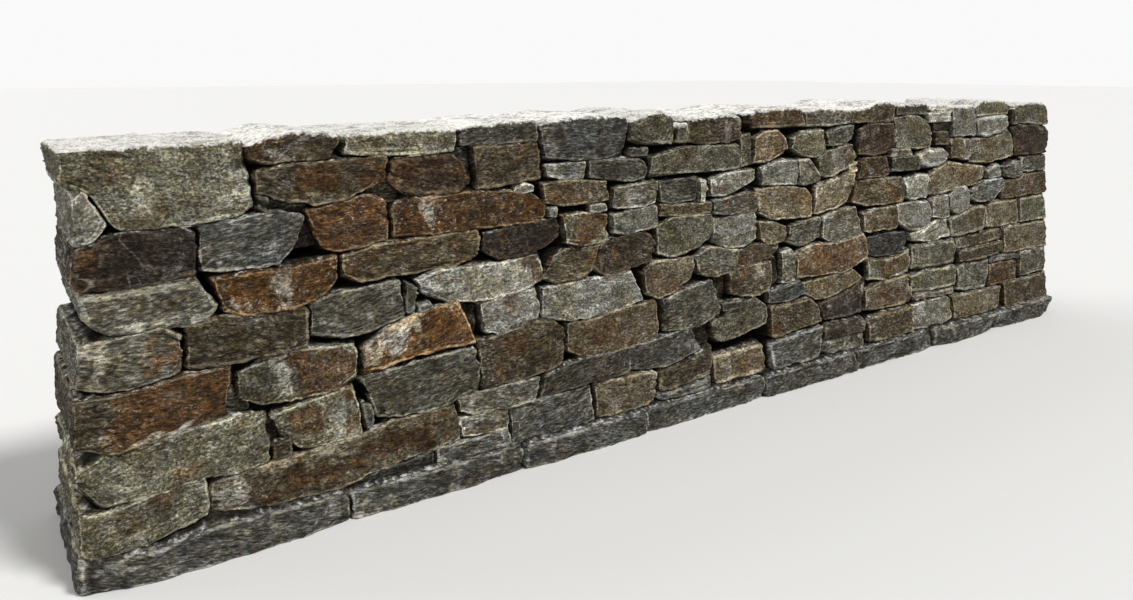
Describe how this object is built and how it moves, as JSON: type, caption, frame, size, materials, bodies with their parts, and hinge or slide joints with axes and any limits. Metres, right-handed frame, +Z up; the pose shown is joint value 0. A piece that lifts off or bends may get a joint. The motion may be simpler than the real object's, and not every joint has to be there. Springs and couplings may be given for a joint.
{
  "type": "dry stone garden wall",
  "caption": "Straight dry stone garden wall of coursed split rubble with a leaning face, thin footing slabs, built ends and large flat cap stones along a level top.",
  "frame": {"origin": "middle of the base, at the lowest ground level", "axes": "+X along the wall from the left end to the right end as the face is seen, -Y out of the face, +Z up"},
  "size_m": [4.36, 0.57, 1.07],
  "materials": {
    "footing_stone": "blue-grey schist slabs, dull and damp at the foot",
    "face_stone": "split gneiss and schist in rust, buff and grey, rough",
    "back_stone": "the same split stone, plainly laid, rough",
    "end_stone": "split stone in long and short blocks, rough",
    "hearting_stone": "small broken stone in shade",
    "corner_stone": "buff-grey gneiss block, coarse and weathered",
    "cap_stone": "split stone, its top bleached pale"
  },
  "bodies": {
    "root": {"footing_left": "footing_stone", "footing_right": "footing_stone", "face_course_1": "face_stone", "face_course_2": "face_stone", "face_course_3": "face_stone", "face_course_4": "face_stone", "face_course_5": "face_stone", "face_course_6": "face_stone", "face_course_7": "face_stone", "hearting": "hearting_stone", "back_course_1": "back_stone", "back_course_2": "back_stone", "back_course_3": "back_stone", "back_course_4": "back_stone", "back_course_5": "back_stone", "back_course_6": "back_stone", "back_course_7": "back_stone", "left_quoin_1": "end_stone", "left_quoin_2": "end_stone", "left_quoin_3": "end_stone", "left_quoin_4": "end_stone", "left_quoin_5": "end_stone", "left_quoin_6": "end_stone", "right_quoin_1": "end_stone", "right_quoin_2": "end_stone", "right_quoin_3": "end_stone", "right_quoin_4": "end_stone", "right_quoin_5": "end_stone", "right_quoin_6": "end_stone", "right_quoin_7": "end_stone", "corner_block": "corner_stone", "cap_1": "cap_stone", "cap_2": "cap_stone", "cap_3": "cap_stone", "cap_4": "cap_stone", "cap_5": "cap_stone", "cap_6": "cap_stone", "cap_7": "cap_stone", "cap_8": "cap_stone", "cap_9": "cap_stone", "cap_10": "cap_stone", "cap_11": "cap_stone", "cap_12": "cap_stone", "cap_13": "cap_stone", "cap_14": "cap_stone"}
  },
  "joints": []
}
